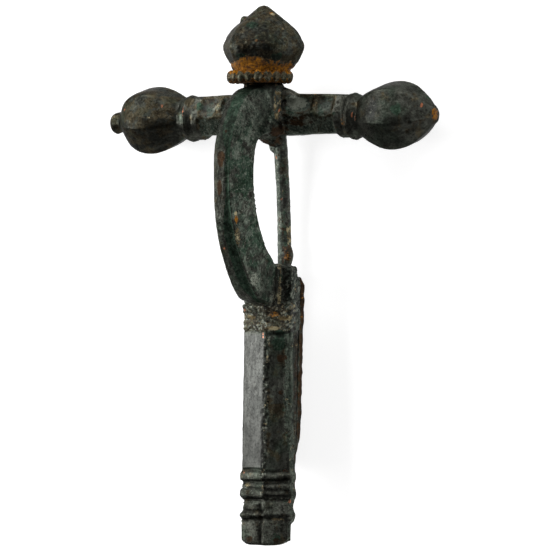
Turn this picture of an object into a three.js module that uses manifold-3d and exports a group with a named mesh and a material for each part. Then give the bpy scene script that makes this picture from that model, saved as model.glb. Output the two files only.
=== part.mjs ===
// Crossbow brooch of cast bronze: arched bow, crossbar with three onion knobs, foot with a pin
// sheath, and a hinged pin. Millimetres. The brooch lies on its back: +X along the crossbar,
// +Y towards the head knob, +Z towards the crown of the bow, Z = 0 at the back of the arm knobs.
import * as THREE from 'three';
import { mergeVertices } from 'three/addons/utils/BufferGeometryUtils.js';
import Module from 'manifold-3d';

const wasm = await Module();
wasm.setup();

// ---- driving sizes ----
const DEG = Math.PI / 180;
const GAP = 0.3;
const HEAD_END = 40;
const FOOT_END = -40;

// crossbar and its knobs, measured from the crossbar's own axis
const BAR_Y = 23.5;
const BAR_Z = 5.2;
const ARM_RISE = 0.4;
const ARM_RADIUS = [3.6, 3.2];
const ARM_END = 12.9;
const REED_START = 11.3;
const REED_PITCH = 0.5;
const REEDS = 3;
const REED_DEPTH = 0.18;
const COLLAR_RADIUS = 3.55;
const PANELS = [[3.4, 7.5], [8.4, 11.0]];
const PANEL_HEIGHT = 2.1;
const PANEL_DEPTH = 0.4;
const KNOB_START = 14.7;
const KNOB_END = 26.65;
const KNOB_TURN = -13 * DEG;
const KNOB_INNER_SWELL = [[3.05, KNOB_START], [4.2, 16.4], [5.1, 18.4], [5.35, 20.3], [4.95, 22.3]];
const KNOB_OUTER_SWELL = {
  left: [[3.8, 23.9], [2.2, 25.0], [1.6, 25.4]],
  right: [[4.1, 23.7], [2.7, 25.2], [1.7, 26.0]],
};
const NUB_RADIUS = { left: 1.6, right: 1.5 };
const LEFT_KNOB_DROOP = 1.8 * DEG;

// bow: stations from the head to the foot, as [y, z] of the outer and the inner face,
// then the half width of each
const BOW = [
  { outer: [28.1, 7.0], inner: [22.6, 6.0], face: 1.3, base: 2.85 },
  { outer: [27.9, 12.0], inner: [21.3, 10.5], face: 1.3, base: 2.85 },
  { outer: [26.9, 15.9], inner: [20.6, 14.2], face: 1.25, base: 2.85 },
  { outer: [24.3, 19.0], inner: [19.6, 16.1], face: 1.25, base: 2.85 },
  { outer: [19.8, 21.5], inner: [17.2, 17.0], face: 1.25, base: 2.85 },
  { outer: [14.2, 22.1], inner: [13.6, 17.2], face: 1.25, base: 2.85 },
  { outer: [8.25, 21.4], inner: [9.7, 16.2], face: 1.35, base: 2.8 },
  { outer: [3.8, 19.6], inner: [6.4, 14.5], face: 1.5, base: 2.7 },
  { outer: [-0.7, 16.4], inner: [4.2, 12.6], face: 1.65, base: 2.55 },
  { outer: [-3.3, 13.5], inner: [2.6, 10.5], face: 1.7, base: 2.4 },
  { outer: [-4.2, 10.0], inner: [0.8, 8.0], face: 1.7, base: 2.25 },
  { outer: [-4.3, 6.3], inner: [-1.0, 6.2], face: 1.7, base: 2.1 },
];
const BOW_STEPS = 40;

// foot: a gabled plate from behind the bow to the foot end
const FOOT_TOP = 1.7;
const FOOT_HALF_WIDTH = 4.0;
const FOOT_EDGE_Z = 7.3;
const FOOT_RIDGE_RISE = [0.85, 0.35];
const RIDGE_FALL = [-29, -35];
const FOOT_BACK_Z = 5.6;
const FOOT_LIFT_START = -9;
const FRONT_LIFT = 1.0;
const BACK_LIFT = 1.35;
const FOOT_STEPS = 84;
const FOOT_CORNER = 1.1;
const HEAD_BARS = [[-4.2, -5.4, 0.45], [-5.9, -6.7, 0.35], [-7.5, -8.1, 0.3]];
const SIDE_BUMPS = [[-29.1, -30.4], [-31.6, -33.2], [-35.2, -36.1]];
const BUMP_OUT = 0.25;
const SIDE_HOLLOW = [-33.2, -35.2];
const HOLLOW_IN = 0.25;
const CROSS_GROOVES = [-30.8, -33.4, -36.4];
const GROOVE_HALF_WIDTH = 0.25;
const GROOVE_DEPTH = 0.3;

// pin sheath: a box under the foot, open along its +X side and at its top end
const SHEATH_TOP = -0.2;
const SHEATH_END = -29.4;
const SHEATH_HALF_WIDTH = 2.35;
const SHEATH_TOE_HALF_WIDTH = 1.5;
const SHEATH_WALL = 1.0;
const CHANNEL_END = -25.5;
const CHANNEL_ROOF = 5.2;
const SHEATH_TOE_RISE = 3.2;
const SHEATH_TOE_LENGTH = 5.5;

// head knob, collar and stem, about an axis along Y
const HEAD_Z = 8.55;
const HEAD_TURN = -20.5 * DEG;
const COLLAR_Z = 9.0;
const COLLAR_X = -0.25;
const RING_RADIUS = 4.75;
const RING_SPAN = [28.75, 30.4];
const BEADS = 25;
const STEPS_PER_BEAD = 4;
const BEAD_DEPTH = 0.35;
const STEM_RADIUS = 1.2;
const STEM_END = 25.9;
const NECK_RADIUS = 2.9;
const NECK_SPAN = [25.5, 28.45];

// hinge and pin
const HINGE_Y = 22.5;
const HINGE_Z = 4.0;
const AXLE_RADIUS = 0.6;
const AXLE_HALF_LENGTH = 3.4;
const EYE_RADIUS = 1.5;
const EYE_HALF_WIDTH = 0.9;
const SLOT_HALF_WIDTH = EYE_HALF_WIDTH + GAP;
const PIN_X = 0.2;
const PIN_RADIUS = 0.9;
const PIN_ROUTE = [[22.0, 3.7], [17.8, 3.1], [11.0, 2.3], [4.0, 2.0], [-6.0, 2.1], [-13.0, 2.2]];
const PIN_TIP = [-18.6, 2.3];
const PIN_POINT_LENGTH = 9;

// ---- joining and cutting ----
function solidOf(geometry) {
  geometry.deleteAttribute('normal');
  geometry.deleteAttribute('uv');
  const merged = mergeVertices(geometry, 1e-5);
  const mesh = new wasm.Mesh({
    numProp: 3,
    vertProperties: merged.attributes.position.array,
    triVerts: merged.index.array,
  });
  return new wasm.Manifold(mesh);
}

function geometryOf(solid) {
  const mesh = solid.getMesh();
  const geometry = new THREE.BufferGeometry();
  geometry.setAttribute('position', new THREE.BufferAttribute(mesh.vertProperties, 3));
  geometry.setIndex(new THREE.BufferAttribute(mesh.triVerts, 1));
  geometry.computeVertexNormals();
  return geometry;
}

function joined(geometries) {
  return geometries.map(solidOf).reduce((sum, next) => sum.add(next));
}

// Moves every vertex of a geometry through a function.
function shaped(geometry, move) {
  const place = geometry.attributes.position;
  const point = new THREE.Vector3();
  for (let i = 0; i < place.count; i++) {
    point.fromBufferAttribute(place, i);
    move(point);
    place.setXYZ(i, point.x, point.y, point.z);
  }
  return geometry;
}

function box(low, high, steps = [1, 1, 1]) {
  const size = high.map((value, i) => value - low[i]);
  const geometry = new THREE.BoxGeometry(...size, ...steps);
  return geometry.translate(...low.map((value, i) => value + size[i] / 2));
}

function rodAlongX(radius, halfLength, y, z, segments) {
  const rod = new THREE.CylinderGeometry(radius, radius, 2 * halfLength, segments);
  return rod.rotateZ(90 * DEG).translate(0, y, z);
}

function rodAlongY(radius, span, z, segments) {
  const rod = new THREE.CylinderGeometry(radius, radius, span[1] - span[0], segments);
  return rod.translate(0, (span[0] + span[1]) / 2, z);
}

// A lathe round Y whose section is a hexagon with softened corners.
function sixSided(profile, turn) {
  const corner = 0.985;
  const lathe = new THREE.LatheGeometry(profile, 24);
  return shaped(lathe, (point) => {
    const angle = Math.atan2(point.x, point.z) - turn;
    const within = ((angle % (60 * DEG)) + 60 * DEG) % (60 * DEG);
    const factor = Math.min(Math.cos(30 * DEG) / Math.cos(within - 30 * DEG), corner);
    point.x *= factor;
    point.z *= factor;
  });
}

function smoothProfile(points, steps) {
  const curve = new THREE.SplineCurve(points.map(([radius, at]) => new THREE.Vector2(radius, at)));
  return curve.getPoints(steps);
}

// ---- crossbar ----
function armKnob(side) {
  const hand = side > 0 ? 'right' : 'left';
  const nub = NUB_RADIUS[hand];
  const profile = [
    new THREE.Vector2(0, KNOB_START - 0.5),
    new THREE.Vector2(3.0, KNOB_START - 0.5),
    ...smoothProfile([...KNOB_INNER_SWELL, ...KNOB_OUTER_SWELL[hand]], 16),
    new THREE.Vector2(nub, KNOB_END - 0.4),
    new THREE.Vector2(nub - 0.4, KNOB_END),
    new THREE.Vector2(0, KNOB_END),
  ];
  const droop = side > 0 ? 0 : LEFT_KNOB_DROOP;
  return sixSided(profile, -side * KNOB_TURN)
    .translate(0, -KNOB_START, 0)
    .rotateZ(-side * 90 * DEG + droop)
    .translate(side * KNOB_START, 0, 0);
}

function armCollar(side) {
  const profile = [new THREE.Vector2(0, REED_START)];
  for (let i = 0; i < REEDS; i++) {
    const start = REED_START + i * REED_PITCH;
    profile.push(new THREE.Vector2(ARM_RADIUS[1] - REED_DEPTH, start));
    profile.push(new THREE.Vector2(ARM_RADIUS[1], start + REED_PITCH / 2));
  }
  const bump = smoothProfile([
    [3.0, 12.7], [COLLAR_RADIUS, 13.4], [3.3, 14.1], [2.95, KNOB_START],
  ], 6);
  profile.push(...bump, new THREE.Vector2(0, KNOB_START));
  return new THREE.LatheGeometry(profile, 24).rotateZ(-side * 90 * DEG);
}

function arm(side) {
  const [root, tip] = ARM_RADIUS;
  const bar = new THREE.CylinderGeometry(tip, root, ARM_END, 6);
  return bar.translate(0, ARM_END / 2, 0).rotateZ(-side * 90 * DEG).translate(0, ARM_RISE, 0);
}

// A shallow rectangular pocket in the upper front facet of an arm.
function armPanel(side, [start, end]) {
  const middle = ARM_RADIUS[0] * Math.cos(30 * DEG);
  const pocket = box([start, -PANEL_HEIGHT / 2, middle - PANEL_DEPTH - 0.15],
    [end, PANEL_HEIGHT / 2, middle + 1]);
  pocket.rotateX(-30 * DEG).translate(0, ARM_RISE, 0);
  return side > 0 ? pocket : pocket.translate(-start - end, 0, 0);
}

function crossbar() {
  const sides = [-1, 1];
  const whole = joined(sides.flatMap((side) => [arm(side), armCollar(side), armKnob(side)]));
  const pockets = joined(sides.flatMap((side) => PANELS.map((span) => armPanel(side, span))));
  return whole.subtract(pockets);
}

// ---- bow ----
function bowCurve(key) {
  return new THREE.SplineCurve(BOW.map((station) => new THREE.Vector2(...station[key])));
}

function bowWidth(key, t) {
  const at = t * (BOW.length - 1);
  const index = Math.min(Math.floor(at), BOW.length - 2);
  return THREE.MathUtils.lerp(BOW[index][key], BOW[index + 1][key], at - index);
}

function bow() {
  const outer = bowCurve('outer');
  const inner = bowCurve('inner');
  const block = new THREE.BoxGeometry(1, 1, 1, 1, BOW_STEPS, 1);
  return shaped(block, (point) => {
    const t = 0.5 - point.y;
    const isOuter = point.z > 0;
    const place = (isOuter ? outer : inner).getPoint(t);
    point.x *= 2 * bowWidth(isOuter ? 'face' : 'base', t);
    point.y = place.x;
    point.z = place.y;
  });
}

// ---- foot ----
function footHalfWidth(y) {
  const bump = SIDE_BUMPS.reduce((sum, [from, to]) => sum + BUMP_OUT * arch(y, from, to), 0);
  const hollow = HOLLOW_IN * arch(y, ...SIDE_HOLLOW);
  const width = FOOT_HALF_WIDTH + bump - hollow;
  const fromEnd = Math.min(y - FOOT_END, FOOT_TOP - y);
  const round = THREE.MathUtils.clamp(FOOT_CORNER - fromEnd, 0, FOOT_CORNER);
  return width - FOOT_CORNER + Math.sqrt(FOOT_CORNER ** 2 - round ** 2);
}

// One half sine between two places, 0 outside them.
function arch(y, from, to) {
  const t = (y - from) / (to - from);
  return t > 0 && t < 1 ? Math.sin(Math.PI * t) : 0;
}

function footRise(y) {
  const bars = HEAD_BARS.reduce((sum, [from, to, height]) => sum + height * arch(y, from, to), 0);
  const grooves = CROSS_GROOVES.reduce(
    (sum, at) => sum + GROOVE_DEPTH * arch(y, at - GROOVE_HALF_WIDTH, at + GROOVE_HALF_WIDTH), 0);
  return bars - grooves;
}

// Runs from 0 to 1 between two places along the foot.
function ramp(y, from, to) {
  return THREE.MathUtils.clamp((y - from) / (to - from), 0, 1);
}

function foot() {
  const block = box([-1, FOOT_END, -1], [1, FOOT_TOP, 1], [4, FOOT_STEPS, 1]);
  return shaped(block, (point) => {
    const y = point.y;
    const lift = ramp(y, FOOT_LIFT_START, FOOT_END);
    const ridge = THREE.MathUtils.lerp(...FOOT_RIDGE_RISE, ramp(y, ...RIDGE_FALL));
    const gable = y < HEAD_BARS[0][0] ? ridge * (1 - Math.abs(point.x)) : 0;
    const front = FOOT_EDGE_Z + gable + footRise(y) + FRONT_LIFT * lift;
    const back = FOOT_BACK_Z + BACK_LIFT * lift;
    point.x *= footHalfWidth(y);
    point.z = point.z > 0 ? front : back;
  });
}

// The sheath's outside: its open side draws in towards the toe, where its back rises.
function sheathBlock() {
  const outline = box([-1, SHEATH_END, 0], [1, SHEATH_TOP, FOOT_BACK_Z + 0.4], [1, 24, 1]);
  return shaped(outline, (point) => {
    const toe = ramp(point.y, SHEATH_END + SHEATH_TOE_LENGTH, SHEATH_END);
    const narrow = ramp(point.y, SHEATH_TOP, SHEATH_END);
    const openSide = THREE.MathUtils.lerp(SHEATH_HALF_WIDTH, SHEATH_TOE_HALF_WIDTH, narrow);
    point.x *= point.x > 0 ? openSide : SHEATH_HALF_WIDTH;
    if (point.z < SHEATH_WALL) {
      point.z += SHEATH_TOE_RISE * toe ** 2;
    }
  });
}

function sheath() {
  const outside = solidOf(sheathBlock());
  const channel = solidOf(box(
    [SHEATH_WALL - SHEATH_HALF_WIDTH, CHANNEL_END, SHEATH_WALL],
    [SHEATH_HALF_WIDTH + 1, SHEATH_TOP + 1, CHANNEL_ROOF]));
  return outside.subtract(channel);
}

// ---- hinge seat ----
function hingeSeat() {
  const slot = solidOf(box([PIN_X - SLOT_HALF_WIDTH, BAR_Y - 5, -1],
    [PIN_X + SLOT_HALF_WIDTH, HINGE_Y + EYE_RADIUS + GAP, HINGE_Z + EYE_RADIUS + GAP]));
  const bore = solidOf(rodAlongX(AXLE_RADIUS + GAP, AXLE_HALF_LENGTH + GAP, HINGE_Y, HINGE_Z, 20));
  return slot.add(bore);
}

function headSeat() {
  return solidOf(rodAlongY(STEM_RADIUS + GAP, [STEM_END - GAP, NECK_SPAN[1] + 1], HEAD_Z, 20));
}

// ---- the pieces ----
function castBody() {
  const bar = crossbar().translate([0, BAR_Y, BAR_Z]);
  return joined([bow(), foot(), rodAlongY(NECK_RADIUS, NECK_SPAN, HEAD_Z, 28)])
    .add(bar)
    .add(sheath())
    .subtract(hingeSeat())
    .subtract(headSeat());
}

function headKnob() {
  const base = RING_SPAN[1] + GAP;
  const onion = smoothProfile([
    [4.5, base], [5.0, 31.4], [5.95, 33.0], [6.2, 34.0], [5.9, 35.3],
    [4.85, 36.6], [3.2, 37.9], [1.5, 39.2], [0.75, HEAD_END - 0.25],
  ], 16);
  const profile = [
    new THREE.Vector2(0, base),
    ...onion,
    new THREE.Vector2(0, HEAD_END),
  ];
  const stem = rodAlongY(STEM_RADIUS, [STEM_END, base + 0.5], 0, 20);
  return joined([sixSided(profile, HEAD_TURN), stem]).translate([0, 0, HEAD_Z]);
}

function beadedCollar() {
  const [low, high] = RING_SPAN;
  const middle = (low + high) / 2;
  const half = (high - low) / 2;
  const profile = [[STEM_RADIUS + GAP + 0.3, low], [RING_RADIUS - 0.7, low]];
  for (let i = 1; i < 6; i++) {
    const angle = (i / 6 - 0.5) * 180 * DEG;
    profile.push([RING_RADIUS - 0.7 + 0.7 * Math.cos(angle), middle + half * Math.sin(angle)]);
  }
  profile.push([RING_RADIUS - 0.7, high], [STEM_RADIUS + GAP + 0.3, high]);
  profile.push(profile[0]);
  const points = profile.map(([radius, at]) => new THREE.Vector2(radius, at));
  const ring = new THREE.LatheGeometry(points, BEADS * STEPS_PER_BEAD);
  shaped(ring, (point) => {
    const radius = Math.hypot(point.x, point.z);
    const rim = Math.max(radius - RING_RADIUS + 0.7, 0) / 0.7;
    const valley = Math.abs(Math.cos(Math.atan2(point.x, point.z) * BEADS / 2));
    const factor = 1 - rim * BEAD_DEPTH * (1 - valley) / radius;
    point.x *= factor;
    point.z *= factor;
  });
  return solidOf(ring).translate([COLLAR_X, 0, COLLAR_Z]);
}

// The needle tapers to its tip over the last stretch of its route.
function pin() {
  const route = [...PIN_ROUTE, PIN_TIP].map(([y, z]) => new THREE.Vector3(PIN_X, y, z));
  const path = new THREE.CatmullRomCurve3(route);
  const section = new THREE.Shape();
  section.absarc(0, 0, PIN_RADIUS, 0, 360 * DEG);
  const needle = new THREE.ExtrudeGeometry(section, {
    steps: 30, curveSegments: 5, extrudePath: path, bevelEnabled: false,
  });
  shaped(needle, (point) => {
    const left = THREE.MathUtils.clamp((point.y - PIN_TIP[0]) / PIN_POINT_LENGTH, 0.12, 1);
    const centre = THREE.MathUtils.lerp(PIN_TIP[1], PIN_ROUTE.at(-1)[1], left);
    if (left < 1) {
      point.x = PIN_X + (point.x - PIN_X) * Math.sqrt(left);
      point.z = centre + (point.z - centre) * Math.sqrt(left);
    }
  });
  const eye = rodAlongX(EYE_RADIUS, EYE_HALF_WIDTH, HINGE_Y, HINGE_Z, 28).translate(PIN_X, 0, 0);
  const hole = rodAlongX(AXLE_RADIUS + GAP, 2, HINGE_Y, HINGE_Z, 20);
  return joined([needle, eye]).subtract(solidOf(hole));
}

function hingeAxle() {
  return solidOf(rodAlongX(AXLE_RADIUS, AXLE_HALF_LENGTH, HINGE_Y, HINGE_Z, 20));
}

// ---- scene ----
const brooch = new THREE.Group();

function addPiece(name, solid, material) {
  const piece = new THREE.Mesh(geometryOf(solid), new THREE.MeshStandardMaterial(material));
  piece.name = name;
  brooch.add(piece);
}

addPiece('cast_body', castBody(), { color: 0x4d5148, roughness: 0.55, metalness: 0.6 });
addPiece('head_knob', headKnob(), { color: 0x54534a, roughness: 0.55, metalness: 0.6 });
addPiece('beaded_collar', beadedCollar(), { color: 0x5a4f3f, roughness: 0.6, metalness: 0.5 });
addPiece('pin', pin(), { color: 0x474a44, roughness: 0.55, metalness: 0.6 });
addPiece('hinge_axle', hingeAxle(), { color: 0x6b3a1e, roughness: 0.85, metalness: 0.3 });

export default brooch;
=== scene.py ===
import math
from types import SimpleNamespace

import bmesh
import bpy
import numpy as np
from mathutils import Matrix, Vector, noise


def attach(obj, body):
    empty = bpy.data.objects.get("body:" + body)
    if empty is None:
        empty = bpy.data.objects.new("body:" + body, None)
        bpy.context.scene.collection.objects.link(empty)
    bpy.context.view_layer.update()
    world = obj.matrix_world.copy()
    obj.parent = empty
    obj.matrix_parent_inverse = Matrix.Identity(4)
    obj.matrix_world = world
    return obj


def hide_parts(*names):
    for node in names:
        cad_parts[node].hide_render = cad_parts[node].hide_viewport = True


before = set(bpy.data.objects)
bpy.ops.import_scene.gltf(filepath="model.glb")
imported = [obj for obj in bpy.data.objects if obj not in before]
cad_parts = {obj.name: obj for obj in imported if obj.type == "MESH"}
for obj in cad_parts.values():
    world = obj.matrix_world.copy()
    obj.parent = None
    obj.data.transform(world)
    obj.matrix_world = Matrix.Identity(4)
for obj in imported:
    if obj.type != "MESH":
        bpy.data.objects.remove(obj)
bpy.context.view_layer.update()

MM = 0.001            # shapes are worked in millimetres and made metres at the end
BODY_VOXEL = 0.214    # keeps the body under 200,000 triangles
SMALL_VOXEL = 0.13
AXLE_VOXEL = 0.1


# ---------------------------------------------------------------- mesh helpers

def merged_copy(node):
    """A CAD node's shape as a bmesh in millimetres, with its loose triangles joined up."""
    shape = bmesh.new()
    shape.from_mesh(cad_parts[node].data)
    bmesh.ops.remove_doubles(shape, verts=shape.verts, dist=1e-7)
    bmesh.ops.scale(shape, vec=(1 / MM, 1 / MM, 1 / MM), verts=shape.verts)
    return shape


def placed(centre, size, turn=(0, 0, 0)):
    """A matrix that scales, then turns by degrees about X, Y, Z, then moves."""
    matrix = Matrix.Translation(centre)
    for angle, axis in zip(turn, "XYZ"):
        matrix = matrix @ Matrix.Rotation(math.radians(angle), 4, axis)
    return matrix @ Matrix.Diagonal((*size, 1))


def add_lump(shape, centre, radii, turn=(0, 0, 0)):
    bmesh.ops.create_icosphere(shape, subdivisions=2, radius=1, matrix=placed(centre, radii, turn))


def add_bar(shape, centre, size, turn=(0, 0, 0)):
    bmesh.ops.create_cube(shape, size=1, matrix=placed(centre, size, turn))


def add_cone(shape, centre, radius_low, radius_high, depth, turn=(0, 0, 0), sides=40):
    bmesh.ops.create_cone(
        shape, cap_ends=True, segments=sides, radius1=radius_low, radius2=radius_high,
        depth=depth, matrix=placed(centre, (1, 1, 1), turn))


def fine_object(name, shape, voxel):
    """The shape remeshed into one even skin that later relief can move."""
    mesh = bpy.data.meshes.new(name)
    shape.to_mesh(mesh)
    shape.free()
    rough = bpy.data.objects.new(name + "_rough", mesh)
    bpy.context.scene.collection.objects.link(rough)
    remesh = rough.modifiers.new("even skin", "REMESH")
    remesh.mode = "VOXEL"
    remesh.voxel_size = voxel
    graph = bpy.context.evaluated_depsgraph_get()
    fine = bpy.data.meshes.new_from_object(rough.evaluated_get(graph))
    bpy.data.objects.remove(rough)
    bpy.data.meshes.remove(mesh)
    fine.name = name
    piece = bpy.data.objects.new(name, fine)
    bpy.context.scene.collection.objects.link(piece)
    return piece


def relaxed(piece, times):
    """Evens out the steps that the remesh leaves."""
    shape = bmesh.new()
    shape.from_mesh(piece.data)
    for _ in range(times):
        bmesh.ops.smooth_vert(
            shape, verts=shape.verts, factor=0.5,
            use_axis_x=True, use_axis_y=True, use_axis_z=True)
    shape.to_mesh(piece.data)
    shape.free()


def read_vectors(piece, name):
    values = np.empty(len(piece.data.vertices) * 3, np.float32)
    piece.data.vertices.foreach_get(name, values)
    return values.reshape(-1, 3).astype(float)


def places(piece):
    return read_vectors(piece, "co")


def normals(piece):
    return read_vectors(piece, "normal")


def put(piece, co):
    piece.data.vertices.foreach_set("co", co.astype(np.float32).ravel())
    piece.data.update()


def pushed(piece, heights):
    """Moves every vertex along its normal by its own height, but not below the surface."""
    co = places(piece) + normals(piece) * heights[:, None]
    co[:, 2] = np.maximum(co[:, 2], 0)
    put(piece, co)


# the shade mask holds painted shade as well as dark patina, and the light mask painted light as
# well as pale deposits
MASKS = ("green", "pale", "light", "bare", "brown", "rust", "crust", "copper", "shade",
         "streaky", "flecked", "warm", "matte")


def stored(piece, flow=None, **layers):
    """Keeps the masks of the patina, with its painted shade and painted light, from 0 to 1 on the
    mesh, and which way its streaks run.
    """
    count = len(piece.data.vertices)
    for name in MASKS:
        values = np.clip(np.broadcast_to(layers.get(name, 0), count), 0, 1)
        layer = piece.data.attributes.new(name, "FLOAT", "POINT")
        layer.data.foreach_set("value", values.astype(np.float32))
    layer = piece.data.attributes.new("flow", "FLOAT_VECTOR", "POINT")
    run = places(piece) if flow is None else flow
    layer.data.foreach_set("vector", run.astype(np.float32).ravel())


# adds the listed stains, painted shade and painted light to the masks
def add_stains_and_painted_light(masks, stains_and_painted_light, co):
    for name, strength, middle, reach in stains_and_painted_light:
        masks[name] = masks.get(name, 0) + strength * lump(co, middle, reach)


def finished(piece, body, nodes, material):
    """Into metres, shaded smooth, riding on its body in place of its CAD nodes."""
    piece.data.transform(Matrix.Scale(MM, 4))
    piece.data.shade_smooth()
    piece.data.materials.append(material)
    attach(piece, body)
    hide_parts(*nodes)


# ---------------------------------------------------------------- relief helpers

def step(values, low, high):
    """Smoothly 0 below low and 1 above high (or the other way round)."""
    t = np.clip((values - low) / (high - low), 0, 1)
    return t * t * (3 - 2 * t)


def band(values, middle, half, soft):
    """1 within half of the middle, falling to 0 over soft."""
    return 1 - step(np.abs(values - middle), half, half + soft)


def cloud(co, size, seed, octaves=3, stretch=(1, 1, 1)):
    """Cloudy noise, about -1 to 1, with features of this size in millimetres."""
    scaled = co / (np.array(stretch) * size) + seed * np.array((7.31, 3.97, 5.53))
    return np.array([
        noise.fractal(point, 0.9, 2.0, octaves) for point in scaled.tolist()])


def spots(co, size, seed, radius):
    """1 in the middle of scattered round spots, 0 outside them."""
    scaled = co / size + seed * np.array((4.71, 8.13, 2.29))
    near = np.array([noise.voronoi(point)[0][0] for point in scaled.tolist()])
    return 1 - step(near, 0.0, radius)


def lump(co, centre, radii):
    """1 at the centre of an ellipsoid, falling smoothly to 0 at its skin."""
    far = np.linalg.norm((co - np.array(centre)) / np.array(radii), axis=1)
    return 1 - step(far, 0.35, 1.0)


# ---------------------------------------------------------------- cast body

BAR_Y = 23.9               # middle of the arms
BAR_Z = 5.2
BOW_CENTRE = (11.0, 8.0)   # y, z that the bow arches round
BOW_RADIUS = 14            # turns an angle round the arch into a length, for the streaks
FOOT_HEAD = -4.2           # where the mouldings below the bow begin
MOULD_END = -8.5           # where the long faces begin
END_START = -28.8          # where the barred end of the foot begins
# The bow's outer line as angle round BOW_CENTRE (degrees) against distance from it
BOW_OUTER = [(25, 18.7), (40, 17.8), (58, 16.3), (77, 14.4), (90, 13.9), (101, 13.7),
             (122, 13.7), (143, 14.3), (159, 15.3), (172, 15.4)]
# Bars across the end of the foot: middle, half width; and the cuts: place, half width, depth
END_BARS = [(-29.75, 0.72), (-32.4, 0.68), (-35.6, 0.5)]
LEFT_CUTS = [(-28.95, 0.14, 0.22), (-30.6, 0.2, 0.28), (-31.6, 0.12, 0.2),
             (-33.15, 0.2, 0.32), (-35.05, 0.16, 0.25), (-36.1, 0.18, 0.3)]
RIGHT_CUTS = [(-29.1, 0.16, 0.28), (-30.55, 0.32, 0.42), (-31.95, 0.18, 0.32),
              (-32.75, 0.18, 0.3), (-33.3, 0.14, 0.25), (-35.7, 0.14, 0.25),
              (-36.2, 0.16, 0.25)]
# How far the left side of the foot's end draws in, along y
END_INSET = [(-37, 0), (-36, 0.12), (-35.6, 0.22), (-35.1, 0.22), (-34.8, 0.36),
             (-33.4, 0.36), (-33.1, 0.1), (-31.9, 0.1), (-31.2, 0.16), (-30.7, 0.1),
             (-30.3, -0.14), (-29.2, -0.14), (-28.9, 0)]
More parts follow.
